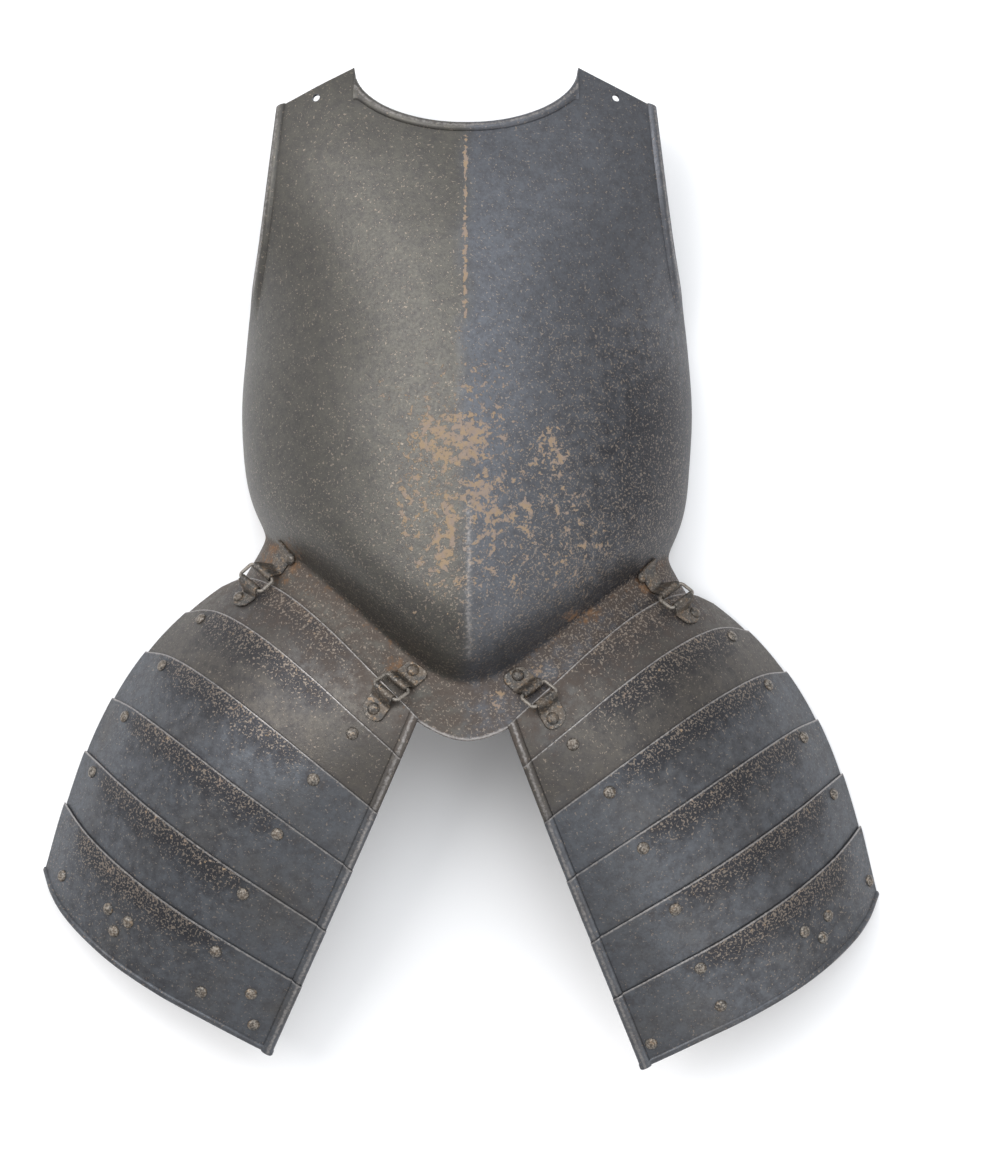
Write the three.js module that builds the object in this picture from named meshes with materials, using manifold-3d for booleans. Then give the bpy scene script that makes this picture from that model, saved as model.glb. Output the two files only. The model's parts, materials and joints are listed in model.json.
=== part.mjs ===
// A cuirass front of dark steel: a ridged breastplate with its waist flange, and two tassets of six
// overlapping lames, each hung from the flange by two hasps. It lies on its side edges, hollow side down.
// Frame, in millimetres: +Z is the front of the breastplate, +Y points to the neck, and +X to the wearer's
// left. Z = 0 is the surface that it lies on, and the origin is the middle of its outline there.
// Both sides are built in a frame whose +X points away from the ridge: hand is 1 on the wearer's left, and
// -1 on the wearer's right, where the finished piece is mirrored.
import * as THREE from "three";
import { mergeVertices } from "three/addons/utils/BufferGeometryUtils.js";
import Module from "manifold-3d";

const wasm = await Module();
wasm.setup();

// ---------------------------------------------------------------- driving dimensions

const HEAD_CLEAR = 0.5; // gap under a rivet's head
const TAIL_CLEAR = 0.8; // gap between a rivet's tail and the hollow face that it lies under

const PLATE = 2.2; // thickness of the breastplate
const FLOOR_GAP = 1e-3; // points of an edge that lie this low are on the resting surface
// Sections of the body, from below the waist to the shoulders: half its width, the heights of its side
// edge and of its ridge, and wrap, the angle in degrees through which each half turns from ridge to edge.
const SECTIONS = [
  { y: -110, halfWidth: 166, edge: 0, ridge: 163, wrap: 90 },
  { y: -40, halfWidth: 167, edge: 0, ridge: 166, wrap: 90 },
  { y: 12, halfWidth: 169, edge: 0, ridge: 164, wrap: 90 },
  { y: 60, halfWidth: 171, edge: 0, ridge: 159, wrap: 90 },
  { y: 117, halfWidth: 174, edge: 0, ridge: 151, wrap: 90 },
  { y: 160, halfWidth: 171.5, edge: 0, ridge: 143, wrap: 86 },
  { y: 200, halfWidth: 165.5, edge: 22, ridge: 134, wrap: 74 },
  { y: 250, halfWidth: 156, edge: 50, ridge: 121, wrap: 60 },
  { y: 300, halfWidth: 149, edge: 58, ridge: 105, wrap: 54 },
  { y: 345, halfWidth: 144, edge: 51, ridge: 88, wrap: 52 },
  { y: 385, halfWidth: 140, edge: 36, ridge: 70, wrap: 52 },
];
const CREASE = 0.16; // share of each section that runs straight down from the ridge, which gives the keel
const NECK = { y: 330, depth: 46, share: 0.6, round: 0.55, span: 141 }; // share of the half width, span
const SHOULDER_DROP = 29; // fall of the shoulder edge from its inner point to its outer corner
const STRAP_HOLE = { s: 0.79, belowEdge: 9, radius: 3 };
const ROLL = { width: 7, height: 2.6, fadeLow: 185, fadeHigh: 215, span: 163 }; // turned neck and arm edges
const WAIST = { y: -88, halfWidth: 156, height: 120, slope: 0.92, round: 30, droop: 14, lean: 8 };
const PINCH = { fillet: 8, length: 64 }; // how the body draws in to its waist
const FLANGE = { width: 38.5, sideWidth: 30, rise: 18, fillet: 5 };

const LAME = 1.3; // thickness of a tasset's lame
const TILT = 2.85; // height of a lame's upper edge over the tasset's master face, where its lower end lies
const OVERLAP = 0.075; // share of a tasset's length by which each lame runs on under the next one
// A tasset's upper and lower edges, from its inner side (0) to its outer side (1).
const TASSET = [
  { at: 0, top: [32, -114, 130], foot: [139.5, -374, 62] },
  { at: 0.2, top: [66, -83.5, 117.5], foot: [182, -351, 72] },
  { at: 0.4, top: [98, -54.5, 99], foot: [226.5, -328.5, 70] },
  { at: 0.6, top: [130, -30, 75], foot: [268, -303.5, 57.5] },
  { at: 0.8, top: [158, -17.5, 43.5], foot: [302, -277, 32] },
  { at: 0.9, top: [172, -17.5, 25], foot: [314.5, -262, 17] },
  { at: 1, top: [188, -24, 8], foot: [323, -246, 0] },
];
const BREADTH = 245; // its breadth and length along its curves
const LENGTH = 265;
const SWELL = { out: 23, up: 10, middle: 26, inner: 12, skew: 0.75 }; // how it bulges between its ends
const LAME_TOPS = [0, 0.115, 0.27, 0.437, 0.615, 0.782]; // where each lame begins, as a share of its length
const BEAD = { width: 9, height: 2.4, footWidth: 4.5, footHeight: 1.6 }; // turned inner and lower edges
const HANG = { pivot: [162, -193], shift: [-3.4, -5.8], turn: -1.3 }; // of the wearer's left tasset

const RIVET = { head: 4.6, dome: 2.6, shank: 1.9, hole: 2.3, tail: 3.2, tailThick: 0.7, sides: 6 };
// The rows of rivets below the upper edges of the lames from the second on: how far below, and where across.
const RIVET_ROWS = [
  { name: "mid", below: 0.036, across: [0.18, 0.23, 0.26, 0.28, 0.285] },
  { name: "edge", below: 0.03, across: [0.88, 0.88, 0.9, 0.92] },
];
// The rivets of the last lame, on each side's tasset.
const FOOT_RIVETS = [
  { down: 0.945, left: 0.06, right: 0.09 },
  { down: 0.934, left: 0.301, right: 0.277 },
  { down: 0.882, left: 0.625, right: 0.566 },
  { down: 0.89, left: 0.726, right: 0.647 },
  { down: 0.926, left: 0.68, right: 0.6 },
  { down: 0.928, left: 0.965, right: 0.877 },
  { down: 0.871, left: null, right: 0.136 },
];

// Where each hasp is riveted to the flange and to the first lame, where its upper bar lies, and how far its
// bars stand off the sheets below them.
const HASPS = [
  { name: "inner", rivet: [0.245, -7.2], bar: [0.296, -24], foot: [0.066, 0.15], lift: 6.8 },
  { name: "outer", rivet: [0.843, -1], bar: [0.895, -20.3], foot: [0.06, 0.8], lift: 9.4 },
];
const LEAF = { width: 18, thick: 1.2, gap: 1.35, pastRivet: 7.5, round: 9, taper: 0.5 };
const ROOT = { over: 0.1, under: 0.2 }; // how deep a leaf's two faces end in the wall of its barrel
const SINK = 0.05; // how deep a rivet's head sits in its leaf
const BARREL = { outer: 3, bore: 1.75, length: 17, sides: 8 };
const LINK = { wire: 1.3, halfWidth: 12.1, pitch: 14, corner: 3, sides: 6 };

const STEEL = { color: 0x5e5d5c, roughness: 0.5, metalness: 0.85 };
const LAME_STEEL = { color: 0x5a5c5f, roughness: 0.45, metalness: 0.85 };
const IRON = { color: 0x4b443d, roughness: 0.65, metalness: 0.7 };

// ---------------------------------------------------------------- surfaces

// Smooth curves through the rows of a table, evaluated together at one place.
function through(rows, at, columns) {
  const places = rows.map((row) => row[at]);
  const values = rows.flatMap((row) => columns.flatMap((column) => row[column]));
  return new THREE.CubicInterpolant(places, values, values.length / rows.length);
}
const bodyAt = through(SECTIONS, "y", ["halfWidth", "edge", "ridge", "wrap"]);
const tassetAt = through(TASSET, "at", ["top", "foot"]);

// The fall of a section from its ridge (1) to its edge (0): an arc, with a straight run that creases it.
function fall(s, wrap) {
  const turn = THREE.MathUtils.degToRad(wrap);
  const cosine = Math.sqrt(Math.max(0, 1 - (s * Math.sin(turn)) ** 2));
  const round = (cosine - Math.cos(turn)) / (1 - Math.cos(turn));
  return (1 - CREASE) * round + CREASE * (1 - Math.abs(s));
}

// The body without its waist, s half-widths from the ridge.
function bodyPoint(s, y) {
  const [halfWidth, edge, ridge, wrap] = bodyAt.evaluate(y);
  const foot = Math.max(edge, 0);
  return new THREE.Vector3(halfWidth * s, y, foot + (ridge - foot) * fall(s, Math.min(wrap, 90)));
}

// The valley between the body and the flange.
function waistPoint(s, hand) {
  const x = WAIST.halfWidth * s;
  const climb = Math.hypot(WAIST.round, WAIST.slope * x) - WAIST.round;
  const y = WAIST.y + climb - WAIST.droop * s ** 4 - WAIST.lean * hand * s;
  return new THREE.Vector3(x, y, WAIST.height * fall(s, 90));
}

const flangeWidth = (s) => THREE.MathUtils.lerp(FLANGE.width, FLANGE.sideWidth, s * s);

// The breastplate's outer face: s half-widths from the ridge, and a length above the waist, which is
// negative on the flange.
function platePoint(s, above, hand) {
  const waist = waistPoint(s, hand);
  if (above < 0) {
    const rise = (FLANGE.rise * (Math.hypot(above, FLANGE.fillet) - FLANGE.fillet)) / flangeWidth(s);
    const outward = new THREE.Vector3(s, 0, Math.sqrt(Math.max(0, 1 - s * s)));
    return waist.addScaledVector(outward, rise).setY(waist.y + above);
  }
  const run = (Math.hypot(above, PINCH.fillet) - PINCH.fillet) / PINCH.length;
  const pinch = Math.max(0, 1 - run) ** 3;
  const unpinched = bodyPoint(s, waist.y);
  return bodyPoint(s, waist.y + above).addScaledVector(waist.sub(unpinched), pinch);
}

// The height of the breastplate's upper edge: the neck opening, and the slope of each shoulder.
function topEdge(s) {
  const share = Math.abs(s) / NECK.share;
  if (share < 1) {
    return NECK.y + NECK.depth * (1 - (1 - share ** 2) ** NECK.round);
  }
  return NECK.y + NECK.depth - (SHOULDER_DROP * (Math.abs(s) - NECK.share)) / (1 - NECK.share);
}

// A tasset's master face, from its upper edge (0) to its foot (1) and from its inner side (0) outwards.
function tassetPoint(down, across, hand) {
  const [topX, topY, topZ, footX, footY, footZ] = tassetAt.evaluate(across);
  const point = new THREE.Vector3(topX, topY, topZ).lerp(new THREE.Vector3(footX, footY, footZ), down);
  const swell = 4 * down * (1 - down) * (1 + SWELL.skew * (0.5 - down));
  point.x += SWELL.out * swell * across ** 2;
  point.y += SWELL.up * swell * across ** 2;
  point.z += swell * (SWELL.middle * 4 * across * (1 - across) + SWELL.inner * (1 - across) ** 2);
  const pivot = new THREE.Vector3(...HANG.pivot, 0);
  const turn = THREE.MathUtils.degToRad(HANG.turn * hand);
  point.sub(pivot).applyAxisAngle(new THREE.Vector3(0, 0, 1), turn).add(pivot);
  return point.add(new THREE.Vector3(...HANG.shift, 0).multiplyScalar(hand));
}

// A sheet that follows a surface: point(a, b, lift) stands off it by lift along its outward normal. The
// limits are the least and the greatest of each parameter.
function sheetOn(surface, lowA, highA, lowB, highB) {
  const step = 1e-4;
  const normal = (a, b) => {
    const alongA = surface(Math.min(a + step, highA), b).sub(surface(Math.max(a - step, lowA), b));
    const alongB = surface(a, Math.min(b + step, highB)).sub(surface(a, Math.max(b - step, lowB)));
    return alongA.cross(alongB).normalize();
  };
  const point = (a, b, lift) => surface(a, b).addScaledVector(normal(a, b), lift);
  return { surface, normal, point };
}
const plateSheet = (hand) => sheetOn((s, above) => platePoint(s, above, hand), -1, 1, -1e3, 1e3);
const tassetSheet = (hand) => sheetOn((down, across) => tassetPoint(down, across, hand), 0, 1, 0, 1);

const PASSES = 10; // of each repeated search

// The place on a surface that is nearest to a point, by repeated least squares from a first guess.
function nearest(surface, target, guess) {
  const step = 1e-4;
  let [a, b] = guess;
  for (let pass = 0; pass < PASSES; pass += 1) {
    const here = surface(a, b);
    const alongA = surface(a + step, b).sub(here).divideScalar(step);
    const alongB = surface(a, b + step).sub(here).divideScalar(step);
    const miss = target.clone().sub(here);
    const [aa, ab, bb] = [alongA.dot(alongA), alongA.dot(alongB), alongB.dot(alongB)];
    const [am, bm] = [alongA.dot(miss), alongB.dot(miss)];
    a += (am * bb - bm * ab) / (aa * bb - ab * ab);
    b += (bm * aa - am * ab) / (aa * bb - ab * ab);
  }
  return [a, b];
}

// ---------------------------------------------------------------- solids

// A geometry of closed faces that share their vertices.
function welded(geometry) {
  geometry.deleteAttribute("normal");
  geometry.deleteAttribute("uv");
  return mergeVertices(geometry, 1e-4);
}

function solidOf(geometry) {
  const vertProperties = new Float32Array(geometry.attributes.position.array);
  const triVerts = new Uint32Array(geometry.index.array);
  return new wasm.Manifold(new wasm.Mesh({ numProp: 3, vertProperties, triVerts }));
}

function geometryOf(solid) {
  const { vertProperties, triVerts } = solid.getMesh();
  const geometry = new THREE.BufferGeometry();
  geometry.setAttribute("position", new THREE.BufferAttribute(vertProperties, 3));
  geometry.setIndex(new THREE.BufferAttribute(triVerts, 1));
  return geometry;
}

function indexed(positions, index) {
  const geometry = new THREE.BufferGeometry();
  geometry.setAttribute("position", new THREE.Float32BufferAttribute(positions, 3));
  geometry.setIndex(index);
  return geometry;
}

// A sheet of metal as a closed shell: face(i, j, side) is a point of its outer (1) or inner (0) face.
function shell(columns, rows, face) {
  const positions = [];
  const index = [];
  const at = (i, j, side) => (side * rows + j) * columns + i;
  const quad = (a, b, c, d) => index.push(a, b, c, a, c, d);
  for (const side of [0, 1]) {
    for (let j = 0; j < rows; j += 1) {
      for (let i = 0; i < columns; i += 1) {
        positions.push(...face(i, j, side).toArray());
      }
    }
  }
  const lastI = columns - 1;
  const lastJ = rows - 1;
  for (let j = 0; j < lastJ; j += 1) {
    for (let i = 0; i < lastI; i += 1) {
      quad(at(i, j, 1), at(i + 1, j, 1), at(i + 1, j + 1, 1), at(i, j + 1, 1));
      quad(at(i, j, 0), at(i, j + 1, 0), at(i + 1, j + 1, 0), at(i + 1, j, 0));
    }
    quad(at(0, j + 1, 0), at(0, j, 0), at(0, j, 1), at(0, j + 1, 1));
    quad(at(lastI, j, 0), at(lastI, j + 1, 0), at(lastI, j + 1, 1), at(lastI, j, 1));
  }
  for (let i = 0; i < lastI; i += 1) {
    quad(at(i, 0, 0), at(i + 1, 0, 0), at(i + 1, 0, 1), at(i, 0, 1));
    quad(at(i + 1, lastJ, 0), at(i, lastJ, 0), at(i, lastJ, 1), at(i + 1, lastJ, 1));
  }
  return indexed(positions, index);
}

// A solid lathed from [radius, height] pairs, with its origin at a point and its axis along a direction.
function lathed(profile, sides, point, direction) {
  const corners = profile.map(([radius, height]) => new THREE.Vector2(radius, height));
  const geometry = new THREE.LatheGeometry(corners, sides);
  const turn = new THREE.Quaternion().setFromUnitVectors(new THREE.Vector3(0, 1, 0), direction);
  geometry.applyQuaternion(turn).translate(point.x, point.y, point.z);
  return welded(geometry);
}

// A closed loop of round wire through the points of a flat path.
function wireLoop(path, normal, radius, sides) {
  const positions = [];
  const index = [];
  const count = path.length;
  path.forEach((point, i) => {
    const before = path[(i + count - 1) % count];
    const after = path[(i + 1) % count];
    const aside = after.clone().sub(before).normalize().cross(normal);
    for (let k = 0; k < sides; k += 1) {
      const turn = (2 * Math.PI * k) / sides;
      const corner = point.clone().addScaledVector(aside, radius * Math.cos(turn));
      positions.push(...corner.addScaledVector(normal, radius * Math.sin(turn)).toArray());
      const [a, b] = [i * sides + k, i * sides + ((k + 1) % sides)];
      const [c, d] = [((i + 1) % count) * sides + k, ((i + 1) % count) * sides + ((k + 1) % sides)];
      index.push(a, c, d, a, d, b);
    }
  });
  return indexed(positions, index);
}

// The height of a turned edge's round section, at a distance from the edge.
function round(distance, width, height) {
  const off = (2 * distance) / width - 1;
  return height * Math.sqrt(Math.max(0, 1 - off * off));
}

function mirrored(geometry) {
  geometry.scale(-1, 1, 1);
  const index = geometry.index.array;
  for (let i = 0; i < index.length; i += 3) {
    [index[i], index[i + 1]] = [index[i + 1], index[i]];
  }
  return geometry;
}

// ---------------------------------------------------------------- breastplate

const HALF_COLUMNS = [0.15, 0.3, 0.43, 0.53, 0.58, 0.6, 0.71, 0.81, 0.89, 0.957, 0.9785, 1];
const PLATE_COLUMNS = [...HALF_COLUMNS.map((s) => -s).reverse(), 0, ...HALF_COLUMNS];
const FLANGE_ROWS = [-1, -0.25, -0.1];
const BODY_ROWS = [0, 0.025, 0.06, 0.11, 0.18, 0.28, 0.39, 0.5, 0.61, 0.72, 0.82, 0.91];
const EDGE_SHARES = [0, 0.5, 1]; // of the width of a turned edge

// How much longer a step up the plate is than the same step square to the neck's edge.
function neckStretch(s) {
  const step = 1e-3;
  const slope = (topEdge(s + step) - topEdge(s - step)) / (2 * step * NECK.span);
  return Math.min(3, Math.hypot(1, slope));
}

// The lengths above the waist of the rows of a column.
function plateRows(s) {
  const height = topEdge(s) - waistPoint(s, 1).y;
  const roll = Math.abs(s) < NECK.share ? ROLL.width * neckStretch(s) : ROLL.width;
  const flange = FLANGE_ROWS.map((share) => share * flangeWidth(s));
  const body = BODY_ROWS.map((share) => share * (height - roll));
  return [...flange, ...body, ...EDGE_SHARES.map((share) => height - (1 - share) * roll)];
}

function rollLift(s, share, y) {
  const neck = Math.abs(s) < NECK.share ? round(share * ROLL.width, ROLL.width, ROLL.height) : 0;
  const arm = round((1 - Math.abs(s)) * ROLL.span, ROLL.width, ROLL.height);
  return Math.max(neck, arm * THREE.MathUtils.smoothstep(y, ROLL.fadeLow, ROLL.fadeHigh));
}

function breastplate() {
  const plate = plateSheet(1);
  const rows = PLATE_COLUMNS.map(plateRows);
  const firstRoll = FLANGE_ROWS.length + BODY_ROWS.length;
  const face = (i, j, side) => {
    const s = PLATE_COLUMNS[i];
    const above = rows[i][j];
    const share = j < firstRoll ? 1 : 1 - EDGE_SHARES[j - firstRoll];
    const outer = plate.surface(s, above);
    const point = plate.point(s, above, side ? rollLift(s, share, outer.y) : -PLATE);
    return point.setZ(outer.z < FLOOR_GAP ? 0 : Math.max(0, point.z));
  };
  return shell(PLATE_COLUMNS.length, rows[0].length, face);
}

// ---------------------------------------------------------------- tassets

const LAMES = LAME_TOPS.length;
const LAME_COLUMNS = [
  ...EDGE_SHARES.map((share) => (share * BEAD.width) / BREADTH),
  ...[0.15, 0.29, 0.43, 0.57, 0.7, 0.82, 0.92, 1],
];

const lameStart = (number) => LAME_TOPS[number - 1];
const lameEnd = (number) => (number < LAMES ? LAME_TOPS[number] + OVERLAP : 1);

// How far the outer face of a lame stands off the tasset's master face.
function lameLift(number, down, across) {
  const tilt = (TILT * (lameEnd(number) - down)) / (lameEnd(number) - lameStart(number));
  const inner = round(across * BREADTH, BEAD.width, BEAD.height);
  const foot = number === LAMES ? round((1 - down) * LENGTH, BEAD.footWidth, BEAD.footHeight) : 0;
  return tilt + Math.max(inner, foot);
}

// Lames that overlap share their rows there, so that their facets stay parallel.
function lameRows(number) {
  const start = lameStart(number);
  if (number === LAMES) {
    const foot = EDGE_SHARES.map((share) => 1 - ((1 - share) * BEAD.footWidth) / LENGTH);
    return [start, start + OVERLAP, (start + OVERLAP + 1) / 2, ...foot];
  }
  const next = LAME_TOPS[number];
  const middle = next - start > 2 * OVERLAP ? [(start + OVERLAP + next) / 2] : [];
  return [start, start + OVERLAP, ...middle, next, next + OVERLAP];
}

function lame(number, hand) {
  const tasset = tassetSheet(hand);
  const rows = lameRows(number);
  const face = (i, j, side) => {
    const place = [rows[i], LAME_COLUMNS[j]];
    const point = tasset.point(...place, lameLift(number, ...place) - (side ? 0 : LAME));
    return point.setZ(Math.max(0, point.z));
  };
  return shell(rows.length, LAME_COLUMNS.length, face);
}

// ---------------------------------------------------------------- rivets

const caster = new THREE.Raycaster();
const REACH = 15; // how far above a sheet its facets are looked for
const DRILL_REACH = 7; // how far a drill runs to each side of a sheet

// The facet of a piece under a point, or over it, as seen along a normal: [outer, inner] for a sheet.
function facets(piece, point, normal) {
  caster.set(point.clone().addScaledVector(normal, REACH), normal.clone().negate());
  return caster.intersectObject(piece).slice(0, 2).map((hit) => hit.point);
}

function seat(piece, sheet, place, lift) {
  const normal = sheet.normal(...place);
  return facets(piece, sheet.surface(...place), normal)[0].addScaledVector(normal, lift);
}

// A rivet whose dome stands on a face, and whose tail is spread below a grip of metal.
function rivet(point, direction, grip) {
  const { head, dome, shank, tail, tailThick } = RIVET;
  const stem = [[0, -grip - tailThick], [tail, -grip - tailThick], [tail, -grip], [shank, -grip]];
  const cap = [[shank, 0], [head, 0], [0.75 * head, 0.7 * dome], [0, dome]];
  return lathed([...stem, ...cap], RIVET.sides, point, direction);
}

function drill(point, direction, radius) {
  const outline = [[0, -DRILL_REACH], [radius, -DRILL_REACH], [radius, DRILL_REACH], [0, DRILL_REACH]];
  return solidOf(lathed(outline, RIVET.sides, point, direction));
}

// Every rivet of a tasset: the lame that its head lies on, and its place down and across the tasset.
function rivetPlaces(side) {
  const rows = RIVET_ROWS.flatMap(({ name, below, across }) =>
    across.map((place, i) => {
      return { name: `${name}_${i + 2}`, number: i + 2, place: [LAME_TOPS[i + 1] + below, place] };
    }),
  );
  const foot = FOOT_RIVETS.filter((row) => row[side] !== null).map((row, i) => {
    return { name: `foot_${i + 1}`, number: LAMES, place: [row.down, row[side]] };
  });
  return [...rows, ...foot];
}

// The lames that a rivet joins, from the outermost.
function gripped({ number, place: [down] }) {
  return number > 1 && down < lameEnd(number - 1) ? [number, number - 1] : [number];
}

// A rivet through the sheets from the outer face of the first piece to the inner face of the last one. Its
// head stands off the first by lift.
function rivetThrough(pieces, sheet, place, lift) {
  const normal = sheet.normal(...place);
  const point = sheet.surface(...place);
  const outer = facets(pieces[0], point, normal)[0];
  const inner = facets(pieces.at(-1), point, normal)[1];
  const head = outer.clone().addScaledVector(normal, lift);
  return rivet(head, normal, head.distanceTo(inner) + TAIL_CLEAR);
}

// ---------------------------------------------------------------- hasps

const LEAF_COLUMNS = [-1, 0, 1];
const LEAF_ROWS = [0, 0.25, 0.45, 0.65, 0.85, 1];

// A leaf that follows a piece's sheet, from its barrel past its rivet to a rounded end.
function leaf(piece, sheet, bar, end, axis, guess) {
  const along = end.clone().sub(bar);
  const reach = along.length() + LEAF.pastRivet;
  along.normalize();
  const sense = Math.sign(along.clone().cross(axis).dot(sheet.normal(...guess)));
  const face = (i, j, side) => {
    const run = LEAF_ROWS[i] * reach;
    const past = THREE.MathUtils.clamp(1 - (reach - run) / LEAF.round, 0, 1);
    const half = (LEAF.width / 2) * (1 - LEAF.taper * past ** 2);
    const target = bar.clone().addScaledVector(along, run);
    target.addScaledVector(axis, sense * LEAF_COLUMNS[j] * half);
    const place = nearest(sheet.surface, target, guess);
    if (i === 0) {
      const below = side ? BARREL.bore + ROOT.over : BARREL.outer - ROOT.under;
      return target.addScaledVector(sheet.normal(...place), -below);
    }
    return seat(piece, sheet, place, LEAF.gap + (side ? LEAF.thick : 0));
  };
  return solidOf(shell(LEAF_ROWS.length, LEAF_COLUMNS.length, face));
}

function barrel(bar, axis) {
  const half = BARREL.length / 2;
  const { outer, bore, sides } = BARREL;
  const outline = [[bore, -half], [outer, -half], [outer, half], [bore, half], [bore, -half]];
  return solidOf(lathed(outline, sides, bar, axis));
}

// A leaf with its barrel and its rivet.
function rivetedLeaf(piece, sheet, bar, place, axis) {
  const end = seat(piece, sheet, place, LEAF.gap);
  const headLift = LEAF.gap + LEAF.thick - SINK;
  return leaf(piece, sheet, bar, end, axis, place)
    .add(barrel(bar, axis))
    .add(solidOf(rivetThrough([piece], sheet, place, headLift)));
}

function link(bar, low, axis) {
  const along = low.clone().sub(bar).normalize();
  const path = [];
  const corners = [[1, 0], [1, 1], [-1, 1], [-1, 0]];
  corners.forEach(([sideways, lower], i) => {
    const middle = bar.clone().lerp(low, lower);
    middle.addScaledVector(axis, sideways * (LINK.halfWidth - LINK.corner));
    middle.addScaledVector(along, (lower ? -1 : 1) * LINK.corner);
    for (const share of [0, 1]) {
      const turn = ((i - 1 + share) * Math.PI) / 2;
      const corner = middle.clone().addScaledVector(axis, LINK.corner * Math.cos(turn));
      path.push(corner.addScaledVector(along, LINK.corner * Math.sin(turn)));
    }
  });
  return wireLoop(path, axis.clone().cross(along), LINK.wire, LINK.sides);
}

// The link's lower bar: square to the upper one, and as far off the first lame as the upper is off the flange.
function lowerBar(piece, sheet, bar, axis, { foot: place, lift }) {
  const low = seat(piece, sheet, place, lift);
  for (let pass = 0; pass < PASSES; pass += 1) {
    const direction = low.clone().sub(bar);
    direction.addScaledVector(axis, -direction.dot(axis)).normalize();
    low.copy(bar).addScaledVector(direction, LINK.pitch);
    low.copy(seat(piece, sheet, nearest(sheet.surface, low, place), lift));
  }
  const direction = low.sub(bar);
  direction.addScaledVector(axis, -direction.dot(axis)).normalize();
  return bar.clone().addScaledVector(direction, LINK.pitch);
}

// The hasps of one side. Their upper bars lie on one line, on which the tasset swings.
function hasps(hand, flange, firstLame) {
  const plate = plateSheet(hand);
  const tasset = tassetSheet(hand);
  const bars = HASPS.map((hasp) => seat(flange, plate, hasp.bar, hasp.lift));
  const axis = bars[1].clone().sub(bars[0]).normalize();
  return HASPS.map((hasp, i) => {
    const bar = bars[i];
    const low = lowerBar(firstLame, tasset, bar, axis, hasp);
    const upper = rivetedLeaf(flange, plate, bar, hasp.rivet, axis);
    const lower = rivetedLeaf(firstLame, tasset, low, hasp.foot, axis);
    return { name: hasp.name, upper, lower, link: link(bar, low, axis), bar, axis };
  });
}

// ---------------------------------------------------------------- assembly

const model = new THREE.Group();

function meshOf(geometry, { color, roughness, metalness }) {
  const material = new THREE.MeshStandardMaterial({ color, roughness, metalness, side: THREE.DoubleSide });
  return new THREE.Mesh(geometry, material);
}

function add(name, geometry, finish) {
  const mesh = meshOf(geometry, finish);
  mesh.name = name;
  model.add(mesh);
}

// Drills every [point, direction] of a list through a piece.
function drilled(geometry, places, radius) {
  const cutters = places.map(([point, direction]) => drill(point, direction, radius));
  return geometryOf(cutters.reduce((solid, cutter) => solid.subtract(cutter), solidOf(geometry)));
}

function addTasset(hand, flange) {
  const side = hand > 0 ? "left" : "right";
  const sided = (geometry) => (hand > 0 ? geometry : mirrored(geometry));
  const tasset = tassetSheet(hand);
  const lames = LAME_TOPS.map((_, i) => meshOf(lame(i + 1, hand), LAME_STEEL));
  const rivets = rivetPlaces(side);
  const hung = hasps(hand, flange, lames[0]);
  for (const hole of rivets) {
    const pieces = gripped(hole).map((number) => lames[number - 1]);
    add(`rivet_${side}_${hole.name}`, sided(rivetThrough(pieces, tasset, hole.place, HEAD_CLEAR)), IRON);
  }
  lames.forEach((piece, i) => {
    const number = i + 1;
    const crossing = rivets.filter((hole) => gripped(hole).includes(number)).map((hole) => hole.place);
    const feet = number > 1 ? [] : HASPS.map((hasp) => hasp.foot);
    const holes = [...crossing, ...feet].map((place) => [tasset.surface(...place), tasset.normal(...place)]);
    add(`lame_${side}_${number}`, sided(drilled(piece.geometry, holes, RIVET.hole)), LAME_STEEL);
  });
  for (const hasp of hung) {
    add(`hasp_leaf_upper_${side}_${hasp.name}`, sided(geometryOf(hasp.upper)), IRON);
    add(`hasp_link_${side}_${hasp.name}`, sided(hasp.link), IRON);
    add(`hasp_leaf_lower_${side}_${hasp.name}`, sided(geometryOf(hasp.lower)), IRON);
  }
}

function strapHoles() {
  const plate = plateSheet(1);
  return [-STRAP_HOLE.s, STRAP_HOLE.s].map((s) => {
    const above = topEdge(s) - STRAP_HOLE.belowEdge - waistPoint(s, 1).y;
    return [plate.surface(s, above), plate.normal(s, above)];
  });
}

function haspHoles(hand) {
  const plate = plateSheet(hand);
  return HASPS.map(({ rivet: place }) => [plate.surface(...place), plate.normal(...place)]);
}

const plain = breastplate();
const strapped = drilled(plain, strapHoles(), STRAP_HOLE.radius);
const leftDrilled = drilled(strapped, haspHoles(1), RIVET.hole);
const bothDrilled = mirrored(drilled(mirrored(leftDrilled), haspHoles(-1), RIVET.hole));
add("breastplate", bothDrilled, STEEL);
addTasset(1, meshOf(plain, STEEL));
addTasset(-1, meshOf(mirrored(plain.clone()), STEEL));

export default model;
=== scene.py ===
"""A cuirass front of dark, rusted steel: a ridged breastplate with a waist flange, and two tassets of six
lames that hang from it on hasps. Shapes are worked out in millimetres, in the frame's own axes. Each side's
tasset is worked out with +X away from the ridge, and hand is 1 on the wearer's left and -1 on the right."""
import json
import math

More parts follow.
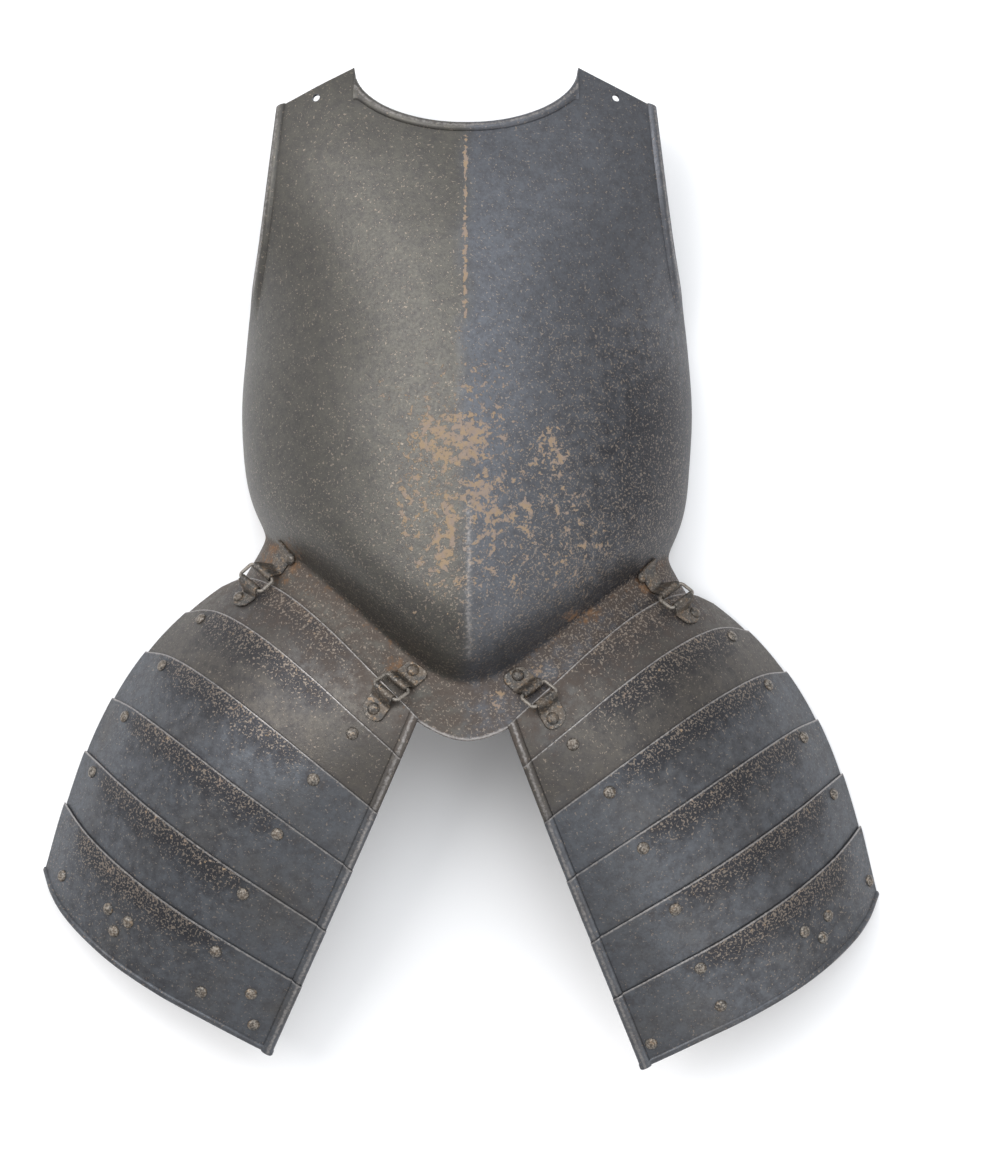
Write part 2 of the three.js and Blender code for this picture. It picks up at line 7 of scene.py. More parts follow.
import bpy
import numpy as np
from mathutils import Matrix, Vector


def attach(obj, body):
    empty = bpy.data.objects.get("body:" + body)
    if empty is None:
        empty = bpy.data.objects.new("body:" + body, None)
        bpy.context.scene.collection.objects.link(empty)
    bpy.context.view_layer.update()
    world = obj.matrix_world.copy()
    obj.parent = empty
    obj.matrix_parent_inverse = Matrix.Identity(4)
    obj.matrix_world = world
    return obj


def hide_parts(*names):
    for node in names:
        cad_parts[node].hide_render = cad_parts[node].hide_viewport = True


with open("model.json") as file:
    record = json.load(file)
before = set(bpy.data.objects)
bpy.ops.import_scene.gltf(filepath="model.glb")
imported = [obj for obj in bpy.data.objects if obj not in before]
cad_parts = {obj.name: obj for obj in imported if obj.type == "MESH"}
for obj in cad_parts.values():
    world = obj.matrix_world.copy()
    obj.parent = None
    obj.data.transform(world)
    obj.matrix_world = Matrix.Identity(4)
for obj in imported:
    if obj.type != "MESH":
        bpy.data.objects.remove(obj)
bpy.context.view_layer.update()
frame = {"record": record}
MM = 0.001

# ---------------------------------------------------------------- sizes, in millimetres

PLATE = 2.2
# Sections of the body: y, half width, height of the side edge, height of the ridge, degrees of wrap.
SECTIONS = [
    (-110, 166, 0, 163, 90), (-40, 167, 0, 166, 90), (12, 169, 0, 164, 90), (60, 171, 0, 159, 90),
    (117, 174, 0, 151, 90), (160, 171.5, 0, 143, 86), (200, 165.5, 22, 134, 74), (250, 156, 50, 121, 60),
    (300, 149, 58, 105, 54), (345, 144, 51, 88, 52), (385, 140, 36, 70, 52),
]
CREASE = 0.16
NECK_Y, NECK_DEPTH, NECK_SHARE, NECK_ROUND, NECK_SPAN = 330, 46, 0.6, 0.55, 141
STEEPEST = 3  # the most that the neck's slope widens its roll along a column
SHOULDER_DROP = 29
STRAP_HOLE = {"s": 0.79, "below_edge": 9, "radius": 3}
DRILL_REACH = 9
AXIS = 0.001  # the radius of a turned form's ends
ROLL = {"width": 7, "height": 2.6, "fade_low": 185, "fade_high": 215, "span": 163}
WAIST = {"y": -88, "half_width": 156, "height": 120, "slope": 0.92, "round": 30, "droop": 14, "lean": 8}
PINCH = {"fillet": 8, "length": 64}
FLANGE = {"width": 38.5, "side_width": 30, "rise": 18, "fillet": 5}

LAME = 1.3
TILT = 2.85
OVERLAP = 0.075
# A tasset's upper and lower edges: how far across, upper point, lower point.
TASSET = [
    (0, 32, -114, 130, 139.5, -374, 62), (0.2, 66, -83.5, 117.5, 182, -351, 72),
    (0.4, 98, -54.5, 99, 226.5, -328.5, 70), (0.6, 130, -30, 75, 268, -303.5, 57.5),
    (0.8, 158, -17.5, 43.5, 302, -277, 32), (0.9, 172, -17.5, 25, 314.5, -262, 17),
    (1, 188, -24, 8, 323, -246, 0),
]
BREADTH, LENGTH = 245, 265
SWELL = {"out": 23, "up": 10, "middle": 26, "inner": 12, "skew": 0.75}
LAME_TOPS = [0, 0.115, 0.27, 0.437, 0.615, 0.782]
BEAD = {"width": 9, "height": 2.4, "foot_width": 4.5, "foot_height": 1.6, "groove": 0.5, "groove_width": 1.3}
HANG_PIVOT, HANG_SHIFT, HANG_TURN = (162, -193), (-3.4, -5.8), -1.3

RIVET = {"head": 4.7, "dome": 2.7, "shank": 1.9, "tail": 3.2, "tail_thick": 0.7, "seat": 0.15}
# What a rivet holds: one lame, two lames, or a leaf and its sheet.
GRIP = {"one": 2.0, "two": 5.2, "leaf": 4.5}
ROW_RIVETS = [
    (0.036, (0.18, 0.23, 0.26, 0.28, 0.285)),
    (0.03, (0.88, 0.88, 0.9, 0.92)),
]
FOOT_RIVETS = {
    "left": [(0.945, 0.06), (0.934, 0.301), (0.882, 0.625), (0.89, 0.726), (0.926, 0.68), (0.928, 0.965)],
    "right": [(0.945, 0.09), (0.934, 0.277), (0.882, 0.566), (0.89, 0.647), (0.926, 0.6), (0.928, 0.877),
              (0.871, 0.136)],
}
HASPS = [
    {"name": "inner", "rivet": (0.245, -7.2), "bar": (0.296, -24), "foot": (0.066, 0.15), "lift": 6.8},
    {"name": "outer", "rivet": (0.843, -1), "bar": (0.895, -20.3), "foot": (0.06, 0.8), "lift": 9.4},
]
LEAF = {"width": 18.6, "thick": 1.3, "gap": 0.5, "past_rivet": 8, "round": 8, "barrel_inset": 0.6, "wrap": 235}
BARREL = 3.0
LINK = {"wire": 1.35, "half_width": 12.1, "pitch": 14, "corner": 3.2}

# Hammered dents: how deep they are, and the distances from an edge over which they begin.
PLATE_DENTS = {"depth": 0.45, "from_arm": 30, "from_waist": 25}
LAME_DENTS = {"depth": 0.25, "shift": 31, "clear": 12, "full": 30}
# The waves that make the dents: radians a millimetre along x and y, and a phase.
DENT_WAVES = [
    (0.061, 0.023, 0.4), (-0.034, 0.072, 1.9), (0.089, -0.051, 3.1), (0.017, 0.118, 4.4), (0.131, 0.064, 5.2),
]


# ---------------------------------------------------------------- surfaces

def smooth(rows, at):
    """Hermite curves through a table's rows, whose first column is the place. The slope at a row is the
    mean of the slopes of the runs beside it."""
    table = np.asarray(rows, float)
    places, values = table[:, 0], table[:, 1:]
    runs = np.diff(values, axis=0) / np.diff(places)[:, None]
    slopes = np.concatenate([runs[:1], (runs[:-1] + runs[1:]) / 2, runs[-1:]])
    at = np.clip(at, places[0], places[-1])
    i = np.clip(np.searchsorted(places, at, side="right") - 1, 0, len(places) - 2)
    width = (places[i + 1] - places[i])[..., None]
    t = (at - places[i])[..., None] / width
    start = (1 + 2 * t) * (1 - t) ** 2 * values[i] + t * (1 - t) ** 2 * width * slopes[i]
    end = t * t * (3 - 2 * t) * values[i + 1] + t * t * (t - 1) * width * slopes[i + 1]
    return np.moveaxis(start + end, -1, 0)


def step_up(low, high, value):
    """A smooth step from 0 at low to 1 at high."""
    t = np.clip((value - low) / (high - low), 0, 1)
    return t * t * (3 - 2 * t)


def bead(distance, width, height):
    """The half-round section of a turned edge: a half ellipse of that width and height."""
    off = 2 * distance / width - 1
    return height * np.sqrt(np.clip(1 - off * off, 0, 1))


def fall(s, wrap):
    """A section's fall from 1 at the ridge to 0 at its edge: an arc of wrap degrees, with a straight share
    CREASE of it that makes the keel."""
    turn = np.radians(np.minimum(wrap, 90))
    arc = (np.sqrt(np.clip(1 - (s * np.sin(turn)) ** 2, 0, 1)) - np.cos(turn)) / (1 - np.cos(turn))
    return (1 - CREASE) * arc + CREASE * (1 - np.abs(s))


def body_point(s, y):
    """The body without its waist: x is s half widths, z falls from the ridge to the edge."""
    half_width, edge, ridge, wrap = smooth(SECTIONS, y)
    foot = np.maximum(edge, 0)
    return np.stack([half_width * s, y, foot + (ridge - foot) * fall(s, wrap)], -1)


def waist_point(s, hand=1):
    """The valley over the flange: y climbs as a hyperbola of x, less a droop and a lean at the sides."""
    x = WAIST["half_width"] * s
    climb = np.hypot(WAIST["round"], WAIST["slope"] * x) - WAIST["round"]
    y = WAIST["y"] + climb - WAIST["droop"] * s**4 - WAIST["lean"] * hand * s
    return np.stack([x, y, WAIST["height"] * fall(s, 90)], -1)


def flange_width(s):
    return FLANGE["width"] + (FLANGE["side_width"] - FLANGE["width"]) * s * s


def plate_point(s, above, hand=1):
    """The breastplate's outer face. Below the waist the flange rises outwards in a straight line past a
    fillet. Above it the body is drawn in to the waist by the cube of what is left of the pinch."""
    waist = waist_point(s, hand)
    run = (np.hypot(above, PINCH["fillet"]) - PINCH["fillet"]) / PINCH["length"]
    pinch = (np.clip(1 - run, 0, 1) ** 3)[..., None]
    body = body_point(s, waist[..., 1] + above) + (waist - body_point(s, waist[..., 1])) * pinch
    rise = FLANGE["rise"] * (np.hypot(above, FLANGE["fillet"]) - FLANGE["fillet"]) / flange_width(s)
    outward = np.stack([s, 0 * s, np.sqrt(np.clip(1 - s * s, 0, 1))], -1)
    flange = waist + outward * rise[..., None]
    flange[..., 1] = waist[..., 1] + above
    return np.where((above < 0)[..., None], flange, body)


def top_edge(s):
    """The height of the upper edge: a rounded neck opening, then a straight slope down each shoulder."""
    share = np.abs(s) / NECK_SHARE
    neck = NECK_Y + NECK_DEPTH * (1 - np.clip(1 - share**2, 0, 1) ** NECK_ROUND)
    shoulder = NECK_Y + NECK_DEPTH - SHOULDER_DROP * (np.abs(s) - NECK_SHARE) / (1 - NECK_SHARE)
    return np.where(share < 1, neck, shoulder)


def tasset_point(down, across, hand):
    """A tasset's master face: straight from its upper edge to its foot, plus a swell that is greatest
    between them, then turned and moved a little as each tasset hangs."""
    ends = smooth(TASSET, across)
    top, foot = np.stack(ends[:3], -1), np.stack(ends[3:], -1)
    point = top + (foot - top) * down[..., None]
    swell = 4 * down * (1 - down) * (1 + SWELL["skew"] * (0.5 - down))
    point[..., 0] += SWELL["out"] * swell * across**2
    point[..., 1] += SWELL["up"] * swell * across**2
    arch = SWELL["middle"] * 4 * across * (1 - across) + SWELL["inner"] * (1 - across) ** 2
    point[..., 2] += swell * arch
    turn = math.radians(HANG_TURN * hand)
    x, y = point[..., 0] - HANG_PIVOT[0], point[..., 1] - HANG_PIVOT[1]
    point[..., 0] = HANG_PIVOT[0] + x * math.cos(turn) - y * math.sin(turn) + HANG_SHIFT[0] * hand
    point[..., 1] = HANG_PIVOT[1] + x * math.sin(turn) + y * math.cos(turn) + HANG_SHIFT[1] * hand
    return point


class Sheet:
    """A surface of two parameters, with its outward normal and points that stand off it."""

    def __init__(self, surface, low, high):
        self.surface, self.low, self.high = surface, low, high

    def normal(self, a, b):
        """The cross product of central differences along the two parameters."""
        h = 1e-4
        a_low, a_high = np.maximum(a - h, self.low[0]), np.minimum(a + h, self.high[0])
        b_low, b_high = np.maximum(b - h, self.low[1]), np.minimum(b + h, self.high[1])
        along_a = self.surface(a_high, b) - self.surface(a_low, b)
        along_b = self.surface(a, b_high) - self.surface(a, b_low)
        return unit(np.cross(along_a, along_b))

    def off(self, a, b, lift):
        return self.surface(a, b) + self.normal(a, b) * np.asarray(lift)[..., None]

    def nearest(self, target, guess):
        """The parameters of the nearest points to targets, by ten rounds of least squares."""
        h = 1e-4
        a, b = (np.full(target.shape[:-1], float(g)) for g in guess)
        for _ in range(10):
            here = self.surface(a, b)
            u, v = (self.surface(a + h, b) - here) / h, (self.surface(a, b + h) - here) / h
            miss = target - here
            uu, uv, vv = (u * u).sum(-1), (u * v).sum(-1), (v * v).sum(-1)
            um, vm = (u * miss).sum(-1), (v * miss).sum(-1)
            a = a + (um * vv - vm * uv) / (uu * vv - uv * uv)
            b = b + (vm * uu - um * uv) / (uu * vv - uv * uv)
        return a, b


def unit(vectors):
    return vectors / np.maximum(np.linalg.norm(vectors, axis=-1, keepdims=True), 1e-9)


def plate_sheet(hand):
    return Sheet(lambda s, above: plate_point(s, above, hand), (-1, -1e3), (1, 1e3))


def tasset_sheet(hand):
    return Sheet(lambda down, across: tasset_point(down, across, hand), (0, 0), (1, 1))


def hammering(x, y, depth):
    """Shallow dents of a hammered sheet: the sum of five waves of different lengths and directions."""
    total = sum(np.sin(kx * x + ky * y + phase) for kx, ky, phase in DENT_WAVES)
    return depth * total / len(DENT_WAVES)


# ---------------------------------------------------------------- meshes

def grid(rows, columns, first=0):
    """The quads of a grid of points, row by row."""
    corner = np.arange(rows * columns).reshape(rows, columns) + first
    return np.stack([corner[:-1, :-1], corner[:-1, 1:], corner[1:, 1:], corner[1:, :-1]], -1).reshape(-1, 4)


def outward(points, quads):
    """The quads, turned over if the solid that they close has a negative volume."""
    a, b, c, d = (points[quads[:, k]] for k in range(4))
    volume = (np.cross(a, b) * c).sum() + (np.cross(a, c) * d).sum()
    return quads if volume > 0 else quads[:, ::-1]


def closed_sheet(outer, inner, bulge=0.35):
    """A sheet between two grids of points. Its rim runs from edge to edge over a line that stands out from
    the middle by bulge times the sheet's thickness."""
    rows, columns = outer.shape[:2]
    count = rows * columns
    corner = np.arange(count).reshape(rows, columns)
    loop = np.concatenate([corner[0, :-1], corner[:-1, -1], corner[-1, :0:-1], corner[:0:-1, 0]])
    i, j = np.divmod(loop, columns)
    inward = np.clip(i, 1, rows - 2) * columns + np.clip(j, 1, columns - 2)
    face, back = outer.reshape(-1, 3), inner.reshape(-1, 3)
    middle = (face[loop] + back[loop]) / 2
    thickness = np.linalg.norm(face[loop] - back[loop], axis=-1, keepdims=True)
    rim = middle + unit(middle - (face[inward] + back[inward]) / 2) * thickness * bulge
    rim[:, 2] = np.maximum(rim[:, 2], 0)
    points = np.concatenate([face, back, rim])
    k = np.arange(len(loop))
    n = np.roll(k, -1)
    upper = np.stack([loop[n], loop, 2 * count + k, 2 * count + n], -1)
    lower = np.stack([2 * count + n, 2 * count + k, count + loop, count + loop[n]], -1)
    quads = np.concatenate([grid(rows, columns), grid(rows, columns, count)[:, ::-1], upper, lower])
    source = np.concatenate([np.arange(count), np.arange(count), loop])
    side = np.concatenate([np.ones(count), np.zeros(count), np.full(len(loop), 0.5)])
    return points, outward(points, quads), source, side


def tube(path, radius, around, sides=14):
    """Round wire along a closed path, with around as the normal of the path's plane."""
    ahead = unit(np.roll(path, -1, 0) - np.roll(path, 1, 0))
    aside = np.cross(ahead, around)
    turn = np.linspace(0, 2 * np.pi, sides, endpoint=False)[None, :, None]
    ring = path[:, None] + radius * (np.cos(turn) * aside[:, None] + np.sin(turn) * around)
    points = ring.reshape(-1, 3)
    i = np.arange(len(path))[:, None]
    k = np.arange(sides)[None, :]
    ni, nk = (i + 1) % len(path), (k + 1) % sides
    quads = np.stack([i * sides + k, ni * sides + k, ni * sides + nk, i * sides + nk], -1).reshape(-1, 4)
    return points, outward(points, quads)


def turned(profile, centre, axis, sides=26):
    """A profile of (radius, height) pairs turned round an axis; its first and last radius are nearly 0."""
    axis = unit(np.asarray(axis, float))
    side = unit(np.cross(axis, [0.3, 1, 0.1]))
    other = np.cross(axis, side)
    turn = np.linspace(0, 2 * np.pi, sides, endpoint=False)[:, None]
    radius, height = np.asarray(profile, float).T
    radial = np.cos(turn)[..., None] * side + np.sin(turn)[..., None] * other
    points = centre + radial * radius[None, :, None] + axis * height[None, :, None]
    count = len(profile)
    i, j = np.arange(sides)[:, None], np.arange(count - 1)[None, :]
    here, beside = i * count + j, (i + 1) % sides * count + j
    quads = np.stack([here, beside, beside + 1, here + 1], -1).reshape(-1, 4)
    return points.reshape(-1, 3), outward(points.reshape(-1, 3), quads)


def joined(parts):
    """Several (points, quads) as one."""
    starts = np.cumsum([0] + [len(points) for points, _ in parts[:-1]])
    return np.concatenate([p for p, _ in parts]), np.concatenate([q + s for (_, q), s in zip(parts, starts)])


def mirrored(points, quads):
    return points * [-1, 1, 1], quads[:, ::-1]


def piece(name, points, quads, material, body, nodes, marks=None, sharp=40):
    """Makes a mesh object from points in millimetres, with its marks as point attributes, rides it on its
    body and lets it stand for its CAD nodes."""
    mesh = bpy.data.meshes.new(name)
    mesh.from_pydata((points * MM).tolist(), [], quads.tolist())
    for mark, values in (marks or {}).items():
        mesh.attributes.new(mark, "FLOAT", "POINT").data.foreach_set("value", values.astype(np.float32))
    mesh.materials.append(material)
    mesh.shade_smooth()
    mesh.set_sharp_from_angle(angle=math.radians(sharp))
    made = bpy.data.objects.new(name, mesh)
    bpy.context.scene.collection.objects.link(made)
    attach(made, body)
    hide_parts(*nodes)
    return made


# ---------------------------------------------------------------- finishes

def srgb(red, green, blue):
    """A linear colour from one given as 0 to 255."""
    level = np.array([red, green, blue]) / 255
    linear = np.where(level <= 0.04045, level / 12.92, ((level + 0.055) / 1.055) ** 2.4)
    return (*linear.tolist(), 1.0)


class Value:
    """A shader socket. Arithmetic on it adds Math nodes."""

    def __init__(self, finish, socket):
        self.finish, self.socket = finish, socket

    def math(self, operation, *values):
        return self.finish.node("ShaderNodeMath", {"operation": operation}, dict(enumerate(values)))

    def __add__(self, other):
        return self.math("ADD", self, other)

    def __sub__(self, other):
        return self.math("SUBTRACT", self, other)

    def __rsub__(self, other):
        return self.math("SUBTRACT", other, self)

    def __mul__(self, other):
        return self.math("MULTIPLY", self, other)

    __radd__, __rmul__ = __add__, __mul__

    def over(self, other):
        return self.math("MAXIMUM", self, other)

    def step(self, low, high):
        """A smooth step from 0 at low to 1 at high."""
        inputs = {"Value": self, "From Min": low, "From Max": high}
        return self.finish.node("ShaderNodeMapRange", {"interpolation_type": "SMOOTHSTEP"}, inputs)


class Finish:
    """A material made node by node."""

    def __init__(self, name):
        self.material = bpy.data.materials.new(name)
        self.material.use_nodes = True
        self.tree = self.material.node_tree
        self.tree.nodes.clear()
        self.place = self.node("ShaderNodeTexCoord", output="Object")

    def node(self, kind, settings=None, inputs=None, output=0):
        made = self.tree.nodes.new(kind)
        for name, value in (settings or {}).items():
            setattr(made, name, value)
        for name, value in (inputs or {}).items():
            if isinstance(value, Value):
                self.tree.links.new(value.socket, made.inputs[name])
            else:
                made.inputs[name].default_value = value
        return Value(self, made.outputs[output])

    def mark(self, name):
        return self.node("ShaderNodeAttribute", {"attribute_name": name}, output="Fac")

    def noise(self, size, detail=3.0, rough=0.55, warp=0.0):
        """Noise whose lumps are about size millimetres across."""
        inputs = {"Vector": self.place, "Scale": 1 / (size * MM), "Detail": detail, "Roughness": rough,
                  "Distortion": warp}
        return self.node("ShaderNodeTexNoise", None, inputs)

    def mix(self, amount, first, second):
        return self.node("ShaderNodeMix", {"data_type": "RGBA"}, {0: amount, 6: first, 7: second}, output=2)

    def bump(self, height, strength, distance, normal=None):
        inputs = {"Height": height, "Strength": strength, "Distance": distance * MM}
        if normal:
            inputs["Normal"] = normal
        return self.node("ShaderNodeBump", None, inputs)

    def done(self, colour, roughness, metallic, normal):
        inputs = {"Base Color": colour, "Roughness": roughness, "Metallic": metallic, "Normal": normal}
        surface = self.node("ShaderNodeBsdfPrincipled", None, inputs)
        self.node_output(surface)
        return self.material

    def node_output(self, surface):
        made = self.tree.nodes.new("ShaderNodeOutputMaterial")
        self.tree.links.new(surface.socket, made.inputs["Surface"])


def old_steel(name, cool, warm, grain):
    """Dark steel gone dull. The marks on the mesh say where it is cool or warm in tone, rusted, specked or
    brown, where painted shade darkens it, and where painted highlights and wear make it pale; noise breaks the
    edges of each."""
    f = Finish(name)
    cloud, blotch, fine, grit = f.noise(45, 4), f.noise(9, 5, 0.65), f.noise(2.2, 4, 0.6), f.noise(0.9, 2)
    tone = (f.mark("warm") + (cloud - 0.5) * 0.9).step(0.2, 0.8)
    colour = f.mix(tone, cool, warm)
    colour = f.mix((blotch * 0.6 + fine * 0.4).step(0.36, 0.66) * 0.55, colour, srgb(62, 60, 62))
    # Painted shade: where the mesh marks shade, the colour is pulled towards a dark grey; on the lames this
    # carries some dark tone as well.
    shade_and_dark_tone = (f.mark("shade_and_dark_tone") * 1.2 + (blotch - 0.5) * 0.9).step(0.15, 0.95)
    colour = f.mix(shade_and_dark_tone * 0.85, colour, srgb(42, 42, 46))
    brown = (f.mark("brown") + (blotch - 0.5) * 1.6).step(0.3, 1.05)
    colour = f.mix(brown * 0.8, colour, srgb(74, 63, 55))
    fleck = f.noise(1.6, 1.5, 0.4, 0.6)
    specks = (fleck + f.mark("specks") * 0.13).step(0.70, 0.77)
    colour = f.mix(specks * 0.6, colour, srgb(140, 128, 116))
    ragged = f.noise(6, 4, 0.6, 0.4) * 0.65 + fine * 0.35
    rust = (f.mark("rust") * 0.3 + ragged).step(0.725, 0.775)
    rust_colour = f.mix(f.noise(5).step(0.4, 0.62), srgb(138, 121, 108), srgb(146, 124, 98))
    colour = f.mix(rust * 0.8, colour, rust_colour)
    orange = (f.mark("orange") * 0.36 + ragged).step(0.66, 0.9)
    colour = f.mix(orange * 0.8, colour, srgb(116, 84, 54))
    # Painted highlights, with some wear: pale where the mesh marks rims, ridges and edges that catch the light.
    wear_and_highlight = (f.mark("wear_and_highlight") + (fine - 0.5) * 1.2).step(0.35, 1.0)
    colour = f.mix(wear_and_highlight * 0.85, colour, srgb(150, 146, 144))
    covered = rust.over(orange).over(brown * 0.7)
    roughness = 0.46 + (fine - 0.5) * 0.25 + covered * 0.3 - wear_and_highlight * 0.08
    metallic = 0.72 - covered * 0.55
    dents = f.bump(blotch, 0.35, 0.5)
    pits = f.bump(fine * 0.6 + grit * 0.4 - specks * 0.3 + rust * 0.5, grain, 0.22, dents)
    return f.done(colour, roughness, metallic, pits)


def rusty_iron(name):
    """Forged iron: dark brown-grey, worn pale on what stands out, with tan and orange rust in patches."""
    f = Finish(name)
    blotch, fine = f.noise(6, 4, 0.6), f.noise(1.5, 4)
    colour = f.mix(blotch.step(0.35, 0.65), srgb(70, 68, 66), srgb(92, 82, 72))
    colour = f.mix((f.noise(4, 3) + (fine - 0.5) * 0.5).step(0.56, 0.7) * 0.7, colour, srgb(128, 104, 78))
    colour = f.mix((fine + f.mark("wear_and_highlight") * 0.25).step(0.55, 0.78) * 0.7, colour, srgb(152, 146, 138))
    roughness = 0.5 + (blotch - 0.5) * 0.4
    metallic = 0.6 - (blotch - 0.5) * 0.6
    return f.done(colour, roughness, metallic, f.bump(blotch * 0.5 + fine * 0.5, 0.5, 0.3))


PLATE_STEEL = old_steel("breastplate steel", srgb(87, 89, 94), srgb(84, 82, 77), 0.75)
LAME_STEEL = old_steel("lame steel", srgb(88, 91, 96), srgb(84, 80, 75), 0.85)
IRON = rusty_iron("hasp iron")
RIVET_IRON = rusty_iron("rivet iron")

# ---------------------------------------------------------------- breastplate

# Patches of rust on the breastplate: middle, half extents, and how dense they are.
RUST_PATCHES = [
    (-8, 92, 38, 30, 0.9), (-42, 46, 9, 40, 0.75), (-14, 20, 12, 48, 0.85), (16, 46, 15, 30, 0.85),
    (42, 34, 11, 32, 0.8), (62, 82, 20, 26, 0.75), (8, 142, 40, 26, 0.55), (-56, 130, 12, 14, 0.6),
    (38, -14, 7, 14, 0.7), (-30, -30, 22, 40, 0.4), (70, 20, 44, 60, 0.62), (-4, 60, 62, 120, 0.66),
    (22, -98, 8, 11, 0.8),
    (53, -76, 8, 8, 0.75), (90, 150, 12, 10, 0.5), (-70, 60, 30, 50, 0.35),
]
ORANGE_PATCHES = [
    (86, -37, 20, 7, 0.7), (136, -12, 9, 12, 0.8), (-52, -72, 10, 7, 0.8), (72, -84, 9, 7, 0.6),
    (-140, 4, 22, 20, 0.7), (-112, -20, 22, 16, 0.4),
]


def patches(table, x, y):
    """The greatest, over a table of soft ellipses, of each one's strength times its falling height."""
    total = np.zeros_like(x)
    for middle_x, middle_y, half_x, half_y, strength in table:
        reach = ((x - middle_x) / half_x) ** 2 + ((y - middle_y) / half_y) ** 2
        total = np.maximum(total, strength * np.clip(1.25 - reach, 0, 1) ** 0.6)
    return total


def plate_marks(x, y, s, above, from_neck, from_arm):
    """Where the breastplate is rusted, specked and brown; painted shade on its right flank, in its valley and
    over its left half; painted highlights and wear on its rims and lower ridge.
    """
    ridge_line = np.exp(-((x / 2.6) ** 2)) * step_up(165, 185, y) * (1 - step_up(318, 326, y))
    # A painted highlight up the lower ridge, where it catches the light.
    streak = np.exp(-(((x - 3) / 4.5) ** 2)) * (1 - step_up(40, 66, y)) * step_up(-84, -60, y)
    valley = np.exp(-((above / 7) ** 2))
    flange = 1 - step_up(-4, 6, above)
    low = 1 - step_up(-20, 150, y)
    # A painted highlight along the flange's lower rim.
    edge = np.exp(-((above + flange_width(s)) / 1.5) ** 2)
    # A painted highlight along the neck roll.
    bright = np.exp(-(((from_neck - 3) / 1.6) ** 2)) * 0.75 * (np.abs(s) < NECK_SHARE)
    # A painted highlight along the armhole rolls.
    arm = np.exp(-(((from_arm - 3) / 1.8) ** 2)) * 0.7 * step_up(190, 215, y)
    # A faint pale line just above the valley on the left, and across the flange on the right.
    border = np.exp(-(((above - 3 + 30 * (x > 0)) / 2.2) ** 2)) * 0.25
    return {
        "rust": np.maximum(patches(RUST_PATCHES, x, y), ridge_line),
        "orange": np.maximum(patches(ORANGE_PATCHES, x, y), 0.5 * valley * (np.abs(x) > 40)),
        "specks": 0.45 + 0.4 * step_up(-10, 90, x) * (1 - step_up(160, 240, y)) + 0.3 * low,
        # Painted shade: darker on the right flank low down, and in the valley.
        "shade_and_dark_tone": 0.75 * step_up(40, 150, x) * (1 - step_up(90, 260, y)) + 0.3 * valley,
        "brown": 0.6 * flange + 0.35 * valley + 0.15 * low,
        "wear_and_highlight": np.maximum.reduce([streak * 0.62, edge, bright, arm, border]),
        # The left half is painted warmer and a little darker than the right, as painted shade of that side.
        "warm": 1 - step_up(-25, 25, x),
    }


def breastplate():
    """The breastplate. Columns are closer at the sides, where s is the sine of an even angle. Rows run up the
    flange, over the valley and up the body to the neck, where they follow the roll."""
    sheet = plate_sheet(1)
    s = np.sin(np.linspace(-1, 1, 191) * np.pi / 2)[None, :]
    up_flange = -np.linspace(1, 0, 19)[:-1] ** 1.4
    up_body = np.linspace(0, 1, 150)[:-1] ** 1.15
    up_roll = (1 - np.cos(np.linspace(0, 1, 13) * np.pi)) / 2
    waist_y = waist_point(s)[..., 1]
    height = top_edge(s) - waist_y
    h = 1e-3
    slope = (top_edge(s + h) - top_edge(s - h)) / (2 * h * NECK_SPAN)
    stretch = np.minimum(STEEPEST, np.hypot(1, slope))
    roll = np.where(np.abs(s) < NECK_SHARE, ROLL["width"] * stretch, ROLL["width"])
    above = np.concatenate([
        up_flange[:, None] * flange_width(s),
        up_body[:, None] * (height - roll),
        height - (1 - up_roll[:, None]) * roll,
    ])
    s = np.broadcast_to(s, above.shape)
    from_neck = (height - above) * ROLL["width"] / roll
    from_arm = (1 - np.abs(s)) * ROLL["span"]
    face = sheet.surface(s, above)
    neck = np.where(np.abs(s) < NECK_SHARE, bead(from_neck, ROLL["width"], ROLL["height"]), 0)
    arm = bead(from_arm, ROLL["width"], ROLL["height"])
    arm = arm * step_up(ROLL["fade_low"], ROLL["fade_high"], face[..., 1])
    dents = hammering(face[..., 0], face[..., 1], PLATE_DENTS["depth"])
    dents = dents * step_up(0, PLATE_DENTS["from_arm"], from_arm) * step_up(0, PLATE_DENTS["from_waist"], above)
    outer = face + sheet.normal(s, above) * (np.maximum(neck, arm) + dents)[..., None]
    inner = sheet.off(s, above, dents - PLATE)
    for points in (outer, inner):
        points[..., 2] = np.where(face[..., 2] < 1e-3, 0, np.maximum(points[..., 2], 0))
    points, quads, source, side = closed_sheet(outer, inner)
    marks = plate_marks(face[..., 0], face[..., 1], s, above, from_neck, from_arm)
    marks = {name: values.reshape(-1)[source] * side for name, values in marks.items()}
    marks["brown"] += 0.75 * (1 - side)
    body, nodes = "breastplate", ["breastplate"]
    made = piece("breastplate_steel", points, quads, PLATE_STEEL, body, nodes, marks)
    bore_strap_holes(made, sheet)


